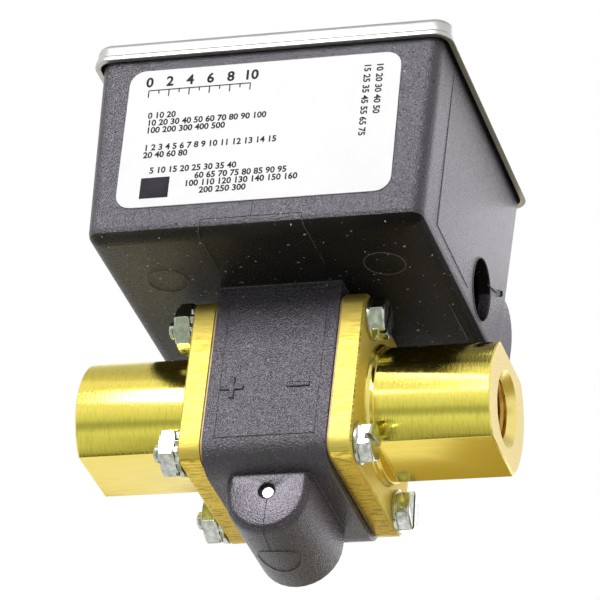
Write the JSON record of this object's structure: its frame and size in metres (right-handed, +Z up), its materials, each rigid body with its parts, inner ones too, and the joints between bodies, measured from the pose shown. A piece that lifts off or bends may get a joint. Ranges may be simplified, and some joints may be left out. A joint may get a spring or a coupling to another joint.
{
  "type": "differential pressure switch",
  "caption": "Moulded switch housing held between two bored brass ports, with a pressed cover and a lever mechanism that works a snap switch.",
  "frame": {"origin": "centre of the flat wall pad at the lower back of the housing", "axes": "+X along the port axis towards the LOW port, +Y out of the wall pad into the wall, +Z up from the ports to the cover"},
  "size_m": [0.0806, 0.0667, 0.0935],
  "materials": {
    "black_plastic": "fine grained black moulding",
    "brass": "turned and brushed",
    "bright_steel": "bright pressed sheet",
    "steel": "plain steel",
    "zinc": "zinc plated",
    "tan_film": "amber diaphragm sheet",
    "grey_rubber": "matt",
    "white_film": "white film",
    "dark_plastic": "smooth black",
    "red_plastic": "smooth red"
  },
  "bodies": {
    "switch_body": {"housing": "black_plastic", "high_port": "brass", "low_port": "brass", "high_diaphragm": "tan_film", "low_diaphragm": "tan_film", "cover": "bright_steel", "cover_gasket": "grey_rubber", "cover_screw_front": "zinc", "cover_screw_rear": "zinc", "label": "white_film", "pivot_pin": "bright_steel", "mechanism_bracket": "steel", "bracket_screw_left": "zinc", "bracket_screw_right": "zinc", "snap_switch_case": "dark_plastic", "terminal_common": "brass", "terminal_open": "brass", "terminal_closed": "brass", "switch_screw_lower": "zinc", "switch_screw_upper": "zinc", "range_screw": "zinc", "range_locknut": "brass", "flange_screw_top_front": "zinc", "lock_washer_top_front": "zinc", "flange_nut_top_front": "zinc", "flange_screw_top_rear": "zinc", "lock_washer_top_rear": "zinc", "flange_nut_top_rear": "zinc", "flange_screw_bottom_front": "zinc", "lock_washer_bottom_front": "zinc", "flange_nut_bottom_front": "zinc", "flange_screw_bottom_rear": "zinc", "lock_washer_bottom_rear": "zinc", "flange_nut_bottom_rear": "zinc"},
    "lever_body": {"lever": "steel"},
    "piston_body": {"high_piston": "steel", "low_piston": "steel"},
    "plunger_body": {"snap_switch_plunger": "red_plastic"},
    "seat_body": {"spring_seat": "zinc", "range_spring": "steel"},
    "nut_body": {"adjusting_nut": "brass"}
  },
  "joints": [
    {"name": "lever_tilt", "type": "hinge", "parent": "switch_body", "child": "lever_body", "pos_m": [0, -0.0258, -0.04675], "axis": [0, 1, 0], "range_deg": [0, 1.55], "stiffness_Nm_per_rad": 0.5, "springref_deg": -1.15, "deforming": ["range_spring"]},
    {"name": "piston_travel", "type": "slide", "parent": "switch_body", "child": "piston_body", "axis": [1, 0, 0], "range_m": [0, 0.00061]},
    {"name": "plunger_travel", "type": "slide", "parent": "switch_body", "child": "plunger_body", "axis": [1, 0, 0], "range_m": [0, 0.0019]},
    {"name": "spring_seat_slide", "type": "slide", "parent": "switch_body", "child": "seat_body", "axis": [1, 0, 0], "range_m": [-0.0014, 0.0014]},
    {"name": "adjusting_nut_turn", "type": "hinge", "parent": "seat_body", "child": "nut_body", "pos_m": [0.0124, -0.0258, 0.0194], "axis": [1, 0, 0], "range_deg": [-722, 722]}
  ],
  "couplings": [
    {"joint": "piston_travel", "follows": "lever_tilt", "m_per_rad": 0.02215},
    {"joint": "plunger_travel", "follows": "lever_tilt", "m_per_rad": 0.06875},
    {"joint": "adjusting_nut_turn", "follows": "spring_seat_slide", "rad_per_m": 8976}
  ]
}
